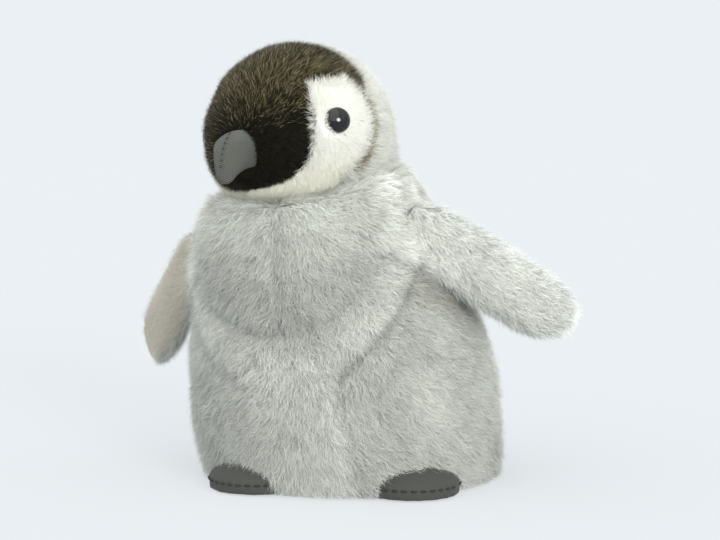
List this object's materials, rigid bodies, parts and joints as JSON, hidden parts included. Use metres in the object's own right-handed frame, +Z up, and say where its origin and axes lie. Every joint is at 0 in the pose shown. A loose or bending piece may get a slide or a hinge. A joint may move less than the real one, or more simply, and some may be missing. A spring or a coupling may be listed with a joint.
{
  "type": "plush penguin toy",
  "caption": "Sitting plush penguin chick with a ball head, dark face, white cheeks, grey pile body, twill beak and feet, and stuffed flippers.",
  "frame": {"origin": "centre of the base, on the ground", "axes": "+Z up; the belly faces -Y; +X is the penguin's left"},
  "size_m": [0.2373, 0.1544, 0.2094],
  "materials": {
    "body_pile": "long pile",
    "bib_pile": "long pile",
    "hood_pile": "long pile",
    "white_pile": "long pile",
    "dark_pile": "long pile",
    "lining": "short pile",
    "twill": "woven twill",
    "stuffing": "loose fibre",
    "bag_cloth": "plain weave",
    "pellet": "small beads",
    "thread": "thread",
    "dark_thread": "thread",
    "eye": "polished",
    "washer": "moulded"
  },
  "bodies": {
    "torso": {"base_panel": "body_pile", "belly_panel": "body_pile", "bib_left_panel": "bib_pile", "bib_right_panel": "bib_pile", "left_side_panel": "body_pile", "right_side_panel": "body_pile", "left_back_panel": "hood_pile", "right_back_panel": "hood_pile", "body_stuffing": "stuffing", "pellet_bag": "bag_cloth", "pellets": "pellet", "closing_seam": "thread"},
    "neck": {"neck_stuffing": "stuffing"},
    "head": {"crown_panel": "dark_pile", "left_cheek_panel": "white_pile", "right_cheek_panel": "white_pile", "left_hood_panel": "hood_pile", "right_hood_panel": "hood_pile", "head_stuffing": "stuffing", "left_eye": "eye", "right_eye": "eye", "left_eye_washer": "washer", "right_eye_washer": "washer", "beak_left_panel": "twill", "beak_right_panel": "twill", "beak_under_panel": "twill", "beak_stuffing": "stuffing"},
    "left_flipper": {"left_flipper_outer": "hood_pile", "left_flipper_inner": "lining", "left_flipper_stuffing": "stuffing"},
    "left_foot": {"left_foot_upper": "twill", "left_foot_sole": "twill", "left_foot_stuffing": "stuffing", "left_foot_seam": "dark_thread"},
    "right_flipper": {"right_flipper_outer": "hood_pile", "right_flipper_inner": "lining", "right_flipper_stuffing": "stuffing"},
    "right_foot": {"right_foot_upper": "twill", "right_foot_sole": "twill", "right_foot_stuffing": "stuffing", "right_foot_seam": "dark_thread"}
  },
  "joints": [
    {"name": "head_turn", "type": "hinge", "parent": "torso", "child": "neck", "pos_m": [-0.02211, -0.01625, 0.16298], "axis": [-0.1469, -0.108, 0.9832], "range_deg": [-20, 20], "stiffness_Nm_per_rad": 0.8},
    {"name": "head_nod", "type": "hinge", "parent": "neck", "child": "head", "pos_m": [-0.02211, -0.01625, 0.16298], "axis": [0.9348, -0.34, 0.1024], "range_deg": [-12, 12], "stiffness_Nm_per_rad": 0.8},
    {"name": "left_flipper_raise", "type": "hinge", "parent": "torso", "child": "left_flipper", "pos_m": [0.03335, -0.03456, 0.12603], "axis": [0.3242, -0.9406, -0.1013], "range_deg": [-12, 30], "stiffness_Nm_per_rad": 0.4},
    {"name": "right_flipper_raise", "type": "hinge", "parent": "torso", "child": "right_flipper", "pos_m": [-0.06435, -0.03456, 0.11143], "axis": [0.6572, 0.7495, 0.0799], "range_deg": [-12, 30], "stiffness_Nm_per_rad": 0.4},
    {"name": "left_foot_flex", "type": "hinge", "parent": "torso", "child": "left_foot", "pos_m": [0.02501, -0.0259, 0.015], "axis": [-0.7193, -0.6947, 0], "range_deg": [0, 12], "stiffness_Nm_per_rad": 0.3},
    {"name": "right_foot_flex", "type": "hinge", "parent": "torso", "child": "right_foot", "pos_m": [-0.01745, -0.03149, 0.015], "axis": [-0.8746, 0.4848, 0], "range_deg": [0, 12], "stiffness_Nm_per_rad": 0.3}
  ]
}
